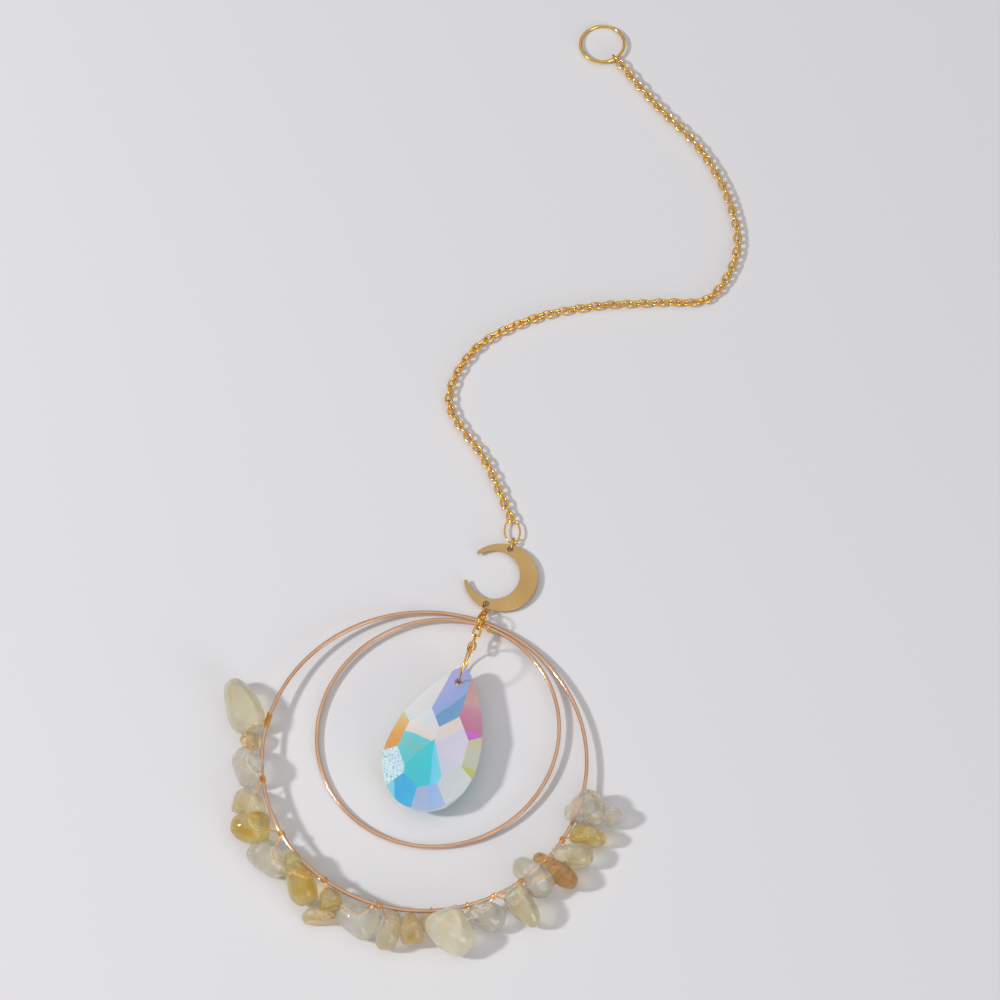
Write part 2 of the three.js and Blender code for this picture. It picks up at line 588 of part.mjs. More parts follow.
function addCrystal() {
  const points = [];
  const half = CRYSTAL_THICKNESS / 2;
  const girdleHalf = CRYSTAL_GIRDLE / 2;
  const girdleStations = [0.02, 0.12, 0.26, 0.4, 0.54, 0.68, 0.81, 0.92, 0.985];
  for (const side of [1, -1]) {
    for (const share of girdleStations) {
      const along = share * CRYSTAL_LENGTH;
      const across = side * crystalHalfWidth(along);
      points.push(vector(along, across, girdleHalf), vector(along, across, -girdleHalf));
    }
    for (const face of [1, -1]) {
      for (const corner of CRYSTAL_CROWN) {
        const across = side * corner.across * (CRYSTAL_WIDTH / 2);
        points.push(vector(corner.along * CRYSTAL_LENGTH, across, face * corner.height * half));
      }
    }
  }
  const bore = new THREE.CylinderGeometry(CRYSTAL_BORE_RADIUS, CRYSTAL_BORE_RADIUS, CRYSTAL_THICKNESS, 8);
  bore.rotateX(Math.PI / 2).translate(CRYSTAL_BORE_FROM_TIP, 0, 0);
  const drilled = toSolid(new ConvexGeometry(points)).subtract(toSolid(bore));
  const axis = heading(CRYSTAL_TURN);
  const ringFoot = crystalRingCentre.clone().add(alongCrystalRing(CRYSTAL_RING_FOOT));
  const tip = ringFoot.clone().setZ(half).addScaledVector(axis, -CRYSTAL_BORE_FROM_TIP);
  addPiece("crystal", toGeometry(drilled).applyMatrix4(frameAlong(tip, axis, 0)), crystalGlass);
}

addCrystal();

// Place on the outer hoop's flat sides or out from them, and the ways outwards and upwards there
function onHoop(degrees, out = 0) {
  const way = heading(degrees);
  const side = 360 / OUTER_HOOP_SIDES;
  const fromMiddle = THREE.MathUtils.degToRad(degrees - side * Math.round(degrees / side));
  const radius = (OUTER_HOOP_RADIUS * Math.cos(Math.PI / OUTER_HOOP_SIDES)) / Math.cos(fromMiddle);
  const place = way.clone().multiplyScalar(radius + out).applyMatrix4(outerFrame);
  const turn = new THREE.Quaternion().setFromRotationMatrix(outerFrame);
  return { place, out: way.clone().applyQuaternion(turn), up: UP.clone().applyQuaternion(turn) };
}

// The wrap wire's coil round the hoop: one corner of the square at a time
const WRAP_SIDES = 3;
const WRAP_CORNER = (HOOP_WIRE / 2 + wireRadius(WRAP_WIRE, WRAP_SIDES) + GAP / 2) * Math.SQRT2;

function coilPoints(wrap) {
  const points = [];
  const steps = wrap.turns * 4;
  const degreesPerStep = THREE.MathUtils.radToDeg(WRAP_PITCH / 4 / OUTER_HOOP_RADIUS);
  for (let i = 0; i <= steps; i += 1) {
    const spot = onHoop(wrap.at + (i - steps / 2) * degreesPerStep);
    const phase = Math.PI / 4 - (i * Math.PI) / 2;
    const place = spot.place.clone().addScaledVector(spot.out, WRAP_CORNER * Math.cos(phase));
    points.push(place.addScaledVector(spot.up, WRAP_CORNER * Math.sin(phase)));
  }
  return points;
}

// Degrees round the hoop from a place clear of the chips
function unwrapDegrees(degrees) {
  return (degrees + 360 - BARE_HOOP_TURN) % 360;
}

const chipMiddles = CHIPS.map((chip) => onHoop(chip.at, chip.out).place.setZ(0));

// Where the wire goes through each chip, in degrees round the hoop and in space
const chipBores = CHIPS.map((chip) => {
  const [along, out] = chip.bore ?? [0, chip.out];
  const at = chip.at + THREE.MathUtils.radToDeg(along / OUTER_HOOP_RADIUS);
  const { place } = onHoop(at, out);
  return { at, place: place.setZ(Math.min(chip.height / 2, place.z)) };
});

// The wire leaves each coil, goes through the middles of the next chips and comes back to the next coil
function wrapWireParts() {
  const parts = [];
  WRAPS.forEach((wrap, i) => {
    parts.push({ coil: coilPoints(wrap), threads: [] });
    const next = WRAPS[i + 1];
    if (next) {
      chipBores.forEach((bore) => {
        const at = unwrapDegrees(bore.at);
        if (at > unwrapDegrees(wrap.at) && at < unwrapDegrees(next.at)) {
          parts[i].threads.push(bore.place);
        }
      });
    }
  });
  return parts;
}

const wrapParts = wrapWireParts();

function addWrapWire() {
  const points = wrapParts.flatMap((stretch) => [...stretch.coil, ...stretch.threads]);
  addPiece("wrap_wire", wireRun(points, WRAP_WIRE, WRAP_SIDES), gold);
}

addWrapWire();

// Bores for the wire, from each coil's end through the chips to the next coil
function boreSolids() {
  const bores = [];
  for (let i = 0; i + 1 < wrapParts.length; i += 1) {
    const from = wrapParts[i].coil.slice(-3);
    const to = wrapParts[i + 1].coil.slice(0, 3);
    bores.push(toSolid(wireRun([...from, ...wrapParts[i].threads, ...to], CHIP_BORE_RADIUS * 2, 4)));
  }
  return bores;
}

// Room for the hoop and its coils, open down to the surface, for chips that lie over the hoop
function hoopRoom() {
  const half = HOOP_WIRE / 2 + 2 * wireRadius(WRAP_WIRE, WRAP_SIDES) + GAP;
  const deep = 2 * OUTER_HOOP_RADIUS;
  const section = [[half, half], [-half, half], [-half, -deep], [half, -deep]];
  const points = ovalPoints(OUTER_HOOP_RADIUS, OUTER_HOOP_RADIUS, OUTER_HOOP_SIDES);
  return toSolid(wireLoop(points, section).applyMatrix4(outerFrame));
}

// A repeatable wobble between -1 and 1 that makes each chip its own
function wobble(seed) {
  const value = Math.sin(seed * 127.1) * 43758.5453;
  return 2 * (value - Math.floor(value)) - 1;
}

// A tumbled stone: three rings of corners, the lowest one flat on the surface, pulled together into a hull
function chipHull(chip, number) {
  const levels = [
    { height: 0, size: 0.7, corners: 4 },
    { height: 0.42, size: 1.03, corners: 7 },
    { height: 0.74, size: 0.92, corners: 5 },
    { height: 1, size: 0.5, corners: 3 },
  ];
  const points = [];
  levels.forEach((level, ring) => {
    for (let i = 0; i < level.corners; i += 1) {
      const angle = (2 * Math.PI * (i + 0.5 + 0.3 * ring)) / level.corners;
      const cosine = Math.cos(angle);
      const sine = Math.sin(angle);
      const x = Math.sign(cosine) * Math.abs(cosine) ** CHIP_SQUARENESS;
      const y = Math.sign(sine) * Math.abs(sine) ** CHIP_SQUARENESS * (1 + chip.taper * x);
      const rough = ring === 1 ? 1 : 1 + CHIP_ROUGHNESS * wobble(number * 31 + ring * 7 + i);
      const lift = ring === 2 ? CHIP_ROUGHNESS * wobble(number * 17 + i) : 0;
      const length = chip.length * level.size * rough;
      const width = chip.width * level.size * rough;
      points.push(vector((x * length) / 2, (y * width) / 2, chip.height * (level.height + lift)));
    }
  });
  const frame = frameAlong(chipMiddles[number], heading(chip.at + chip.turn), 0);
  return toSolid(new ConvexGeometry(points).applyMatrix4(frame));
}

// Chips that crowd each other are parted by a cut in the later one, a gap away from the earlier one
function addChips() {
  const bores = boreSolids();
  const room = hoopRoom();
  const hulls = CHIPS.map((chip, i) => chipHull(chip, i));
  hulls.forEach((hull, i) => {
    let stone = hull.subtract(room);
    for (let k = 0; k < i; k += 1) {
      const near = chipMiddles[k].distanceTo(chipMiddles[i]) < (CHIPS[k].length + CHIPS[i].length) / 2 + 1;
      if (near) {
        stone = stone.subtract(grown(hulls[k], chipMiddles[k], CHIPS[k]));
      }
    }
    bores.forEach((bore) => {
      stone = stone.subtract(bore);
    });
    addPiece(`citrine_chip_${String(i + 1).padStart(2, "0")}`, toGeometry(largestBody(stone)), citrine);
  });
}

// A chip's hull made larger by the gap all round
function grown(hull, middle, chip) {
  const centre = middle.clone().setZ(chip.height / 2);
  const wider = 1 + (2 * CHIP_CLEARANCE) / chip.width;
  const taller = 1 + (2 * CHIP_CLEARANCE) / chip.height;
  return hull
    .translate([-centre.x, -centre.y, -centre.z])
    .scale([wider, wider, taller])
    .translate([centre.x, centre.y, centre.z]);
}

addChips();

// The origin is under the middle of the part, on the surface it lies on
part.updateMatrixWorld(true);
const bounds = new THREE.Box3().setFromObject(part);
const middle = bounds.getCenter(new THREE.Vector3());
part.position.set(-middle.x, -middle.y, -bounds.min.z);

export default part;
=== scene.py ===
import math

import bmesh
import bpy
import numpy as np
from mathutils import Matrix, Vector, noise


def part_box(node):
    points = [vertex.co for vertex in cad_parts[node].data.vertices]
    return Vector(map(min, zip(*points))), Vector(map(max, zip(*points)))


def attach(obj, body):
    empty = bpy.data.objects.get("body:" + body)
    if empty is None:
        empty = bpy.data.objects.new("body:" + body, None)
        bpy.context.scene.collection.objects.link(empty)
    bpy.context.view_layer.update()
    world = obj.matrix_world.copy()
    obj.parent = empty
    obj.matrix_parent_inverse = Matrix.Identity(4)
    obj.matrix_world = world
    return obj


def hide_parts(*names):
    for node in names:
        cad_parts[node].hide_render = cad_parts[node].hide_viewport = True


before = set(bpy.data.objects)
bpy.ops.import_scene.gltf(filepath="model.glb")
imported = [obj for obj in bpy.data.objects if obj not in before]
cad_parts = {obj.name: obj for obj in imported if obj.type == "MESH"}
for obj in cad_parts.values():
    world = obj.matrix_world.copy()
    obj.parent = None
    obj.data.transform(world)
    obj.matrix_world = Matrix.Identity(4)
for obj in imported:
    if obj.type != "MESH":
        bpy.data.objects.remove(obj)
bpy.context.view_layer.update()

# All lengths below are in millimetres unless they say otherwise; finished meshes are scaled to metres.
MM = 0.001
# What a length may be off by rounding
ROUNDING = 1e-3

# Where the layout's own origin lies in the frame
LAYOUT = Vector((2.095, -10.702, 0.030))

# Hanging ring and the ring between the chain and the crescent, measured along the middle of their wire
HANGING_RING_RADIUS = 5.98
HANGING_RING_WIRE = 0.8
END_RING_HALF_LENGTH = 3.27
END_RING_HALF_WIDTH = 1.97
END_RING_WIRE = 0.46

# Chain links. They lie where the CAD model's finer links do: LINK_REACH is how far the inside of such a
# link's end is from its middle, LINK_BITE is how deep the links of one run go into each other, and GAP is the
# room between two runs.
GAP = 0.12
LINK_LENGTH = 3.34
LINK_WIDTH = 2.3
LINK_WIRE = 0.6
LINK_SQUARENESS = 0.82
LINK_STEPS = 24
LINK_REACH = 1.0467
LINK_BITE = 0.04
LINK_PITCH = 2 * LINK_REACH + LINK_BITE
LINKS_PER_RUN = 9

# The chain's height above the floor, its first link's roll, how far its links lean at its ends, and its route
CHAIN_LIE = 1.2
CHAIN_ROLL = 90
CHAIN_LEAN = 20
CHAIN_ROUTE = [
    (30.6, 134.2), (42.7, 117.6), (53.7, 104.3), (60.8, 89.3), (62.8, 72.6), (54.8, 58.3), (42.3, 57.1),
    (25.0, 56.0), (8.3, 52.1), (-6.5, 43.2), (-13.2, 28.1), (-3.4, 9.8), (2.7, -5.5),
]

# Crescent
CRESCENT_RADIUS = 9.4
CRESCENT_INNER_RADIUS = 6.75
CRESCENT_OFFSET = 2.08
CRESCENT_THICKNESS = 0.5
CRESCENT_BEVEL = 0.07
CRESCENT_OPENS = 158
CRESCENT_OPENING = 59
CRESCENT_HOLE_RADIUS = 0.82
CRESCENT_HOLE_MARGIN = 0.4
CRESCENT_HOLE_FROM_MIDDLE = CRESCENT_RADIUS - CRESCENT_HOLE_MARGIN - CRESCENT_HOLE_RADIUS
CRESCENT_HOLE_TURN = 85
CRESCENT_OUTER_STEPS = 96
CRESCENT_INNER_STEPS = 72
CRESCENT_HORN_STEPS = 8
CRESCENT_HOLE_STEPS = 24

# Short chain from the crescent to the crystal: its way off the crescent, the places that it passes after
# that, the first link's roll and the twist from end to end
DROP_WAY = Vector((-0.12, -0.88, 0.4)).normalized()
DROP_ROUTE = [(-5.0, -35.5, 4.1), (-5.8, -38.6, 4.0), (-6.7, -41.4, 4.05), (-7.15, -43.0, 4.25)]
DROP_ROLL = 110
DROP_TWIST = 80

# Ring round both hoops, and the crystal's ring
HOOP_RING_RADIUS = 2.59
HOOP_RING_WIRE = 0.36
CRYSTAL_RING_RADIUS = 5.48
CRYSTAL_RING_WIRE = 0.5

# Hoops of square wire with round corners
HOOP_WIRE = 0.9
HOOP_BEVEL = 0.24
HOOP_BEVEL_STEPS = 3
HOOP_STEPS = 216
OUTER_HOOP_RADIUS = 40
INNER_HOOP_RADIUS = 30
INNER_HOOP_OVAL = 0.45
INNER_HOOP_OVAL_TURN = 43

# Wire round the outer hoop. Each wrap is its degrees round the hoop and its number of turns. The wire starts
# past BARE_HOOP_TURN, where the hoop is bare, and goes round anticlockwise.
WRAP_WIRE = 0.32
WRAP_PITCH = 0.62
WRAP_CLEARANCE = 0.03
WRAP_SQUARENESS = 1.3
WRAP_STEPS = 16
BARE_HOOP_TURN = 150
WRAPS = [
    (165.6, 6), (-171.6, 3), (-149.6, 2), (-126.4, 2), (-105.4, 3), (-87.2, 1), (-74.6, 1), (-64.8, 2),
    (-53.9, 2), (-32.2, 2), (-13.2, 1),
]
# Each chip's bore: degrees round the hoop, distance out from it, and the chip's height
BORES = [
    (169.0, 4.8, 7.4), (174.2, 3.9, 5.2), (-177.1, 3.3, 7.4), (-164.4, 4.2, 6.6), (-156.8, 6.1, 7.6),
    (-145.1, 5.8, 7.2), (-134.8, 2.8, 7.6), (-121.8, 7.8, 5.0), (-121.8, 3.0, 7.6), (-110.9, 4.2, 6.8),
    (-100.1, 4.6, 7.2), (-93.5, 3.8, 7.0), (-81.1, 5.2, 8.6), (-69.6, 2.9, 6.6), (-57.8, 4.8, 7.4),
    (-49.0, 1.9, 7.6), (-42.3, 3.3, 7.2), (-35.0, 3.7, 7.0), (-26.9, 4.9, 6.6), (-19.4, 2.4, 7.8),
    (-18.2, 8.7, 5.6),
]

# Wear of the chips. The rough stone is remeshed and smoothed, more so where it is big, and then grown again
# by CHIP_GROWTH and a share of its size. Its broad and its fine dents have a depth and waves per millimetre.
CHIP_VOXEL = 0.22
CHIP_SMOOTHING = 0.7
CHIP_SMOOTHING_ROUNDS = 1.5
CHIP_GROWTH = 0.16
CHIP_GROWTH_SHARE = 0.045
CHIP_DENTS = [(0.3, 0.3), (0.04, 0.8)]
# How far apart two chips lie in the noise, so that no two have the same dents
CHIP_SEED_STEP = (7.3, 3.1, 0)

# Crystal. CRYSTAL_TIP_CUT is the share of its length that is missing at its blunt tip, and CRYSTAL_SWELL says
# how soon it widens from there.
CRYSTAL_LENGTH = 40
CRYSTAL_WIDTH = 23.2
CRYSTAL_WIDEST = 26
CRYSTAL_SWELL = 0.85
CRYSTAL_TIP_CUT = 0.02
CRYSTAL_HALF = 5.2
CRYSTAL_GIRDLE_HALF = 0.5
CRYSTAL_TURN = -109.3
CRYSTAL_STATIONS = 48
CRYSTAL_BORE_FROM_TIP = 5.2
CRYSTAL_BORE_RADIUS = 1.05
CRYSTAL_BORE_SIDES = 32
CRYSTAL_DRILL_LENGTH = 20

# Facets of one face of the crystal. Each is a plane: name, a point on it, and how its height rises per
# millimetre away from the tip and, across that, towards the right.
FACETS = [
    ("kite", (19.3, 0, 5.07), 0.2417, 0.0),
    ("left", (22.6, 0, CRYSTAL_HALF), 0.04, 0.255),
    ("right", (22.6, 0, CRYSTAL_HALF), 0.04, -0.255),
    ("lower", (22.6, 0, CRYSTAL_HALF), -0.1075, 0.0),
]
# Facets that rise from the girdle, one on each side: name, the distance from the tip at which they touch its
# edge, and how steeply they fall towards it
EDGE_FACETS = [
    ("upper", 10, 0.62), ("shoulder", 22.6, 0.78), ("flank", 32.2, 0.68), ("foot", 39.1, 0.66),
]
# The point of the crystal that its colours are measured from, and for every facet the heading that they
# follow and the screen colour, from 0 to 255, at each distance along it. Each is the coating's own tint with
# painted reflections in it: the sharp steps inside a facet stand for other facets and the studio seen in it.
FACET_MIDDLE = Vector((-17.1, -71.1, 0)) + LAYOUT
FACET_TINTS_AND_REFLECTIONS = {
    "kite": (-47.6, [
        (-14, (172, 160, 232)), (-7, (148, 170, 234)), (-4.9, (140, 172, 228)), (-4.5, (98, 158, 196)),
        (2, (112, 168, 214)),
    ]),
    "left": (-118.3, [
        (-7, (205, 215, 242)), (-2.6, (236, 214, 204)), (-1.1, (238, 206, 192)), (-0.9, (86, 200, 210)),
        (1.6, (112, 190, 184)), (4, (90, 196, 196)),
    ]),
    "right": (-55.6, [
        (-6, (240, 222, 200)), (0.1, (230, 216, 210)), (0.9, (208, 204, 244)), (6, (214, 208, 246)),
    ]),
    "lower": (-5.4, [
        (-8, (70, 186, 190)), (0.7, (52, 194, 202)), (1.0, (104, 202, 238)), (4, (120, 208, 240)),
    ]),
    "upper_left": (-130, [
        (-16, (224, 242, 226)), (-3.9, (224, 242, 236)), (-3.3, (206, 228, 248)), (1.5, (200, 226, 250)),
        (1.8, (92, 172, 236)), (4, (110, 190, 240)),
    ]),
    "upper_right": (-90, [
        (-16, (250, 176, 166)), (-12, (248, 182, 182)), (-9.6, (226, 152, 176)), (-4.6, (214, 130, 170)),
        (-4.2, (244, 124, 232)), (0, (240, 100, 230)),
    ]),
    "shoulder_left": (-110, [
        (-6, (250, 190, 130)), (-1, (244, 160, 84)), (3, (226, 150, 90)), (4, (240, 190, 140)),
    ]),
    "shoulder_right": (-90, [
        (-5, (216, 226, 186)), (-2.5, (252, 222, 172)), (1.0, (250, 226, 206)), (4.6, (252, 236, 190)),
        (5.0, (252, 222, 120)), (8, (250, 214, 90)),
    ]),
    "flank_right": (-60, [
        (-2, (252, 242, 230)), (6.5, (252, 244, 210)), (10, (250, 236, 226)), (16, (248, 236, 236)),
    ]),
    "foot_left": (0, [
        (-14, (140, 208, 252)), (-8.9, (120, 200, 250)), (-8.6, (58, 164, 216)), (-3, (70, 172, 214)),
    ]),
    "foot_right": (0, [
        (-6, (162, 176, 208)), (-0.4, (164, 180, 218)), (-0.1, (150, 178, 234)), (3, (166, 186, 240)),
    ]),
    "girdle": (0, [(-10, (236, 242, 246)), (10, (246, 236, 242))]),
}
# The facet with painted glints instead, and the screen colours of its grains by the noise's value: the
# bright and dark grains are painted sparkle of reflected light, not the glass's own colour.
GLITTER_FACET = "flank_left"
PAINTED_GLINT_GRAINS = [
    (0.36, (70, 120, 150)), (0.44, (165, 205, 240)), (0.55, (205, 225, 245)), (0.64, (255, 255, 250)),
]
FACET_NAMES = [*FACET_TINTS_AND_REFLECTIONS, GLITTER_FACET]
# Which facet's colours each facet of the back has
BACK_COLOURS = {
    "kite": "upper_right", "left": "foot_right", "right": "left", "lower": "kite", "upper_left": "right",
    "upper_right": "upper_left", "shoulder_left": "flank_right", "shoulder_right": "flank_left",
    "flank_left": "shoulder_right", "flank_right": "lower", "foot_left": "right", "foot_right": "left",
}
# How much lighter a tint is than its screen colour, and the screen's gamma
TINT_LIFT = 1.32
SCREEN_GAMMA = 2.2

# Edges of a mesh that bend more than this many degrees are sharp
CRESCENT_SHARP = 25
HOOP_SHARP = 35
CRYSTAL_SHARP = 12

# Floor and lamps, in metres and watts. A lamp shines on LAMP_AIM from a direction and a distance.
FLOOR_REACH = 4.0
FLOOR_DARK = (0.70, 0.69, 0.70)
FLOOR_LIGHT = (0.71, 0.70, 0.71)
LAMP_AIM = Vector((0, -0.04, 0))
LAMPS = {
    "key": {"direction": (-1.25, -0.17, 1.0), "distance": 1.6, "size": 0.16, "power": 16},
    "fill": {"direction": (0.85, -1.0, 0.42), "distance": 2.5, "size": 1.5, "power": 20},
}
# How bright the studio ceiling is at each height, from the horizon at 0 to straight above at 1
CEILING_LEVELS = [(0.0, 0.02), (0.45, 0.10), (0.68, 0.95), (1.0, 1.12)]
CEILING_BLUE = 1.02
CEILING_STRENGTH = 0.72
CAMERA_ELEVATION = 64.5
CAMERA_DISTANCE = 871.3
CAMERA_LENS = 122.4
CAMERA_SENSOR = 36
CAMERA_CLIP_START = 10

UP = Vector((0, 0, 1))
EAST = Vector((1, 0, 0))
NORTH = Vector((0, 1, 0))


def ray(angle):
    """The level way at an angle in radians."""
    return Vector((math.cos(angle), math.sin(angle), 0))


def heading(degrees):
    """The level way at an angle in degrees."""
    return ray(math.radians(degrees))


def between(low, value, high):
    """A value kept between two others."""
    return min(max(value, low), high)


def node_points(name):
    """The corners of a CAD node, each once, in millimetres."""
    corners = np.array([v.co[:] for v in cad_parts[name].data.vertices], float) / MM
    return np.unique(np.round(corners, 3), axis=0)


def flat_frame(name):
    """The middle of a flat ring, its longest way, and its normal, from its CAD node."""
    points = node_points(name)
    mean = points.mean(0)
    ways = np.linalg.svd(points - mean, full_matrices=False)[2]
    along = (points - mean) @ ways.T
    middle = mean + ((along.max(0) + along.min(0)) / 2) @ ways
    normal = Vector(ways[2])
    if normal.z < 0:
        normal.negate()
    return Vector(middle), Vector(ways[0]), normal


def add_object(name, data):
    made = bpy.data.objects.new(name, data)
    bpy.context.scene.collection.objects.link(made)
    return made


def final_mesh(shape):
    """The mesh of an object with its modifiers applied. The object itself goes."""
    graph = bpy.context.evaluated_depsgraph_get()
    mesh = bpy.data.meshes.new_from_object(shape.evaluated_get(graph))
    bpy.data.objects.remove(shape)
    return mesh


# Materials

# Most of a noise lies between these
NOISE_LOW = 0.3
NOISE_HIGH = 0.7
# Scales of the materials' patterns, per metre
METAL_STAINS = 90
METAL_SMEARS = 900
STONE_CLOUDS = 150
STONE_SMEARS = 700
STONE_DIMPLES = 420
GLASS_WOBBLE = 260
PAINTED_GLINT_SCALE = 1900
FLOOR_CLOUDS = 3
# How deep the dimples of a stone are, and how far the wobble moves a facet's colours
STONE_DIMPLE_DEPTH = 0.6
GLASS_WOBBLE_SHARE = 0.07


def set_stops(node, stops):
    """Gives a colour ramp its stops, each a position and a colour."""
    elements = node.color_ramp.elements
    while len(elements) < len(stops):
        elements.new(0.5)
    for element, (position, colour) in zip(elements, stops):
        element.position = position
        element.color = (*colour, 1)


class Shader:
    """A procedural material: a principled shader and the textures that feed it."""

    def __init__(self, name, **values):
        self.material = bpy.data.materials.new(name)
        self.material.use_nodes = True
        self.tree = self.material.node_tree
        self.shader = self.tree.nodes["Principled BSDF"]
        for key, value in values.items():
            self.shader.inputs[key.replace("_", " ")].default_value = value
        self.place = self.tree.nodes.new("ShaderNodeTexCoord").outputs["Object"]

    def link(self, source, target):
        self.tree.links.new(source, target)

    def noise(self, per_metre, detail=3.0, roughness=0.5, distortion=0.0):
        node = self.tree.nodes.new("ShaderNodeTexNoise")
        node.inputs["Scale"].default_value = per_metre
        node.inputs["Detail"].default_value = detail
        node.inputs["Roughness"].default_value = roughness
        node.inputs["Distortion"].default_value = distortion
        self.link(self.place, node.inputs["Vector"])
        return node.outputs["Fac"]

    def ramp(self, source, stops):
        node = self.tree.nodes.new("ShaderNodeValToRGB")
        set_stops(node, stops)
        self.link(source, node.inputs["Fac"])
        return node.outputs["Color"]

    def range(self, source, low, high, start=NOISE_LOW, end=NOISE_HIGH):
        node = self.tree.nodes.new("ShaderNodeMapRange")
        node.inputs["From Min"].default_value = start
        node.inputs["From Max"].default_value = end
        node.inputs["To Min"].default_value = low
        node.inputs["To Max"].default_value = high
        self.link(source, node.inputs["Value"])
        return node.outputs["Result"]

    def across(self, turn, start, end):
        """Runs from 0 to 1 between two distances, in millimetres along a heading of the frame."""
        node = self.tree.nodes.new("ShaderNodeVectorMath")
        node.operation = "DOT_PRODUCT"
        self.link(self.place, node.inputs[0])
        node.inputs[1].default_value = heading(turn)
        return self.range(node.outputs["Value"], 0, 1, start * MM, end * MM)

    def add(self, source, other, share):
        """The first value plus a share of how far the other is from a half."""
        node = self.tree.nodes.new("ShaderNodeMath")
        node.operation = "MULTIPLY_ADD"
        self.link(other, node.inputs[0])
        node.inputs[1].default_value = share
        node.inputs[2].default_value = -share / 2
        total = self.tree.nodes.new("ShaderNodeMath")
        self.link(source, total.inputs[0])
        self.link(node.outputs["Value"], total.inputs[1])
        return total.outputs["Value"]

    def colour(self, source):
        self.link(source, self.shader.inputs["Base Color"])

    def rough(self, source):
        self.link(source, self.shader.inputs["Roughness"])

    def bump(self, source, millimetres, strength=1.0):
        node = self.tree.nodes.new("ShaderNodeBump")
        node.inputs["Distance"].default_value = millimetres * MM
        node.inputs["Strength"].default_value = strength
        self.link(source, node.inputs["Height"])
        self.link(node.outputs["Normal"], self.shader.inputs["Normal"])


def metal(name, dark, light, polish, grain, grain_depth):
    """Plated metal: slightly uneven colour and polish, and a fine grain."""
    made = Shader(name, Metallic=1.0)
    made.colour(made.ramp(made.noise(METAL_STAINS, detail=4), [(NOISE_LOW, dark), (NOISE_HIGH, light)]))
    made.rough(made.range(made.noise(METAL_SMEARS, detail=5), *polish))
    made.bump(made.noise(grain, detail=4), grain_depth)
    return made.material


gold = metal("gold", (0.95, 0.51, 0.08), (1.0, 0.64, 0.16), (0.08, 0.16), 2600, 0.002)
wrap_gold = metal("wrap_gold", (0.90, 0.44, 0.08), (0.98, 0.58, 0.15), (0.10, 0.2), 2600, 0.002)
hoop_brass = metal("hoop_brass", (0.72, 0.42, 0.25), (0.82, 0.52, 0.33), (0.10, 0.18), 3200, 0.0008)
crescent_brass = metal("crescent_brass", (0.62, 0.39, 0.15), (0.72, 0.47, 0.2), (0.36, 0.48), 5200, 0.012)


def stone(name, pale, deep, clarity):
    """Tumbled quartz: see-through and glossy, with soft clouds of deeper colour and a dimpled skin."""
    made = Shader(
        name, IOR=1.43, Alpha=0.9, Transmission_Weight=clarity, Coat_Weight=0.6, Coat_Roughness=0.02
    )
    middle = tuple((p + d) / 2 for p, d in zip(pale, deep))
    clouds = [(0.32, deep), (0.42, middle), (0.5, pale), (0.58, pale), (0.7, deep)]
    made.colour(made.ramp(made.noise(STONE_CLOUDS, detail=4, distortion=0.5), clouds))
    made.rough(made.range(made.noise(STONE_SMEARS, detail=4), 0.0, 0.04))
    dimples = made.noise(STONE_DIMPLES, detail=3, roughness=0.45, distortion=0.6)
    made.bump(dimples, STONE_DIMPLE_DEPTH, strength=0.7)
    return made.material


citrines = {
    "pale": stone("citrine_pale", (1.0, 0.95, 0.76), (1.0, 0.80, 0.38), 0.78),
    "clear": stone("citrine_clear", (1.0, 0.98, 0.90), (1.0, 0.88, 0.62), 0.82),
    "yellow": stone("citrine_yellow", (1.0, 0.90, 0.50), (0.98, 0.64, 0.08), 0.8),
    "amber": stone("citrine_amber", (1.0, 0.86, 0.54), (0.95, 0.52, 0.10), 0.78),
    "deep": stone("citrine_deep", (0.99, 0.70, 0.30), (0.80, 0.34, 0.05), 0.82),
    "frosted": stone("citrine_frosted", (1.0, 0.96, 0.80), (0.98, 0.86, 0.58), 0.58),
}
CHIP_LOOKS = [
    "pale", "amber", "clear", "pale", "yellow", "clear", "yellow", "amber", "yellow", "clear", "pale",
    "amber", "frosted", "clear", "pale", "clear", "deep", "pale", "yellow", "clear", "clear",
]


def tint(red, green, blue):
    """A screen colour, from 0 to 255, made linear and a little lighter."""
    return tuple(min(1.0, TINT_LIFT * (level / 255) ** SCREEN_GAMMA) for level in (red, green, blue))


def glass(name, turn, stops):
    """One facet's coated glass: see-through, mirror smooth, its tint and painted reflections side by side
    along a heading.
    """
    made = Shader(
        name, Roughness=0.02, IOR=1.5, Alpha=0.93,
        Transmission_Weight=0.3, Coat_Weight=0.5, Coat_Roughness=0.02,
    )
    middle = FACET_MIDDLE.dot(heading(turn))
    start, end = stops[0][0], stops[-1][0]
    value = made.across(turn, middle + start, middle + end)
    value = made.add(value, made.noise(GLASS_WOBBLE, detail=2), GLASS_WOBBLE_SHARE)
    colours = [((distance - start) / (end - start), tint(*colour)) for distance, colour in stops]
    made.colour(made.ramp(value, colours))
    return made.material


def painted_glints(name):
    """A facet with painted glints: fine bright and dark grains that stand in for flashes of reflected light.
    """
    made = Shader(name, Roughness=0.05, IOR=1.5, Alpha=0.93, Transmission_Weight=0.2, Coat_Weight=0.5)
    colours = [(place, tint(*colour)) for place, colour in PAINTED_GLINT_GRAINS]
    made.colour(made.ramp(made.noise(PAINTED_GLINT_SCALE, detail=6, roughness=0.75), colours))
    return made.material


# Pieces


def add_piece(name, mesh, materials, nodes, sharp=None):
    """Scales a mesh that is in millimetres, and stands it in for its CAD nodes."""
    mesh.transform(Matrix.Scale(MM, 4))
    mesh.polygons.foreach_set("use_smooth", [True] * len(mesh.polygons))
    if sharp:
        mesh.set_sharp_from_angle(angle=math.radians(sharp))
    for material in materials:
        mesh.materials.append(material)
    mesh.update()
    piece = add_object(name, mesh)
    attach(piece, "root")
    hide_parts(*nodes)


def round_section(thickness, sides=8):
    step = 2 * math.pi / sides
    return [(thickness / 2 * math.cos(i * step), thickness / 2 * math.sin(i * step)) for i in range(sides)]


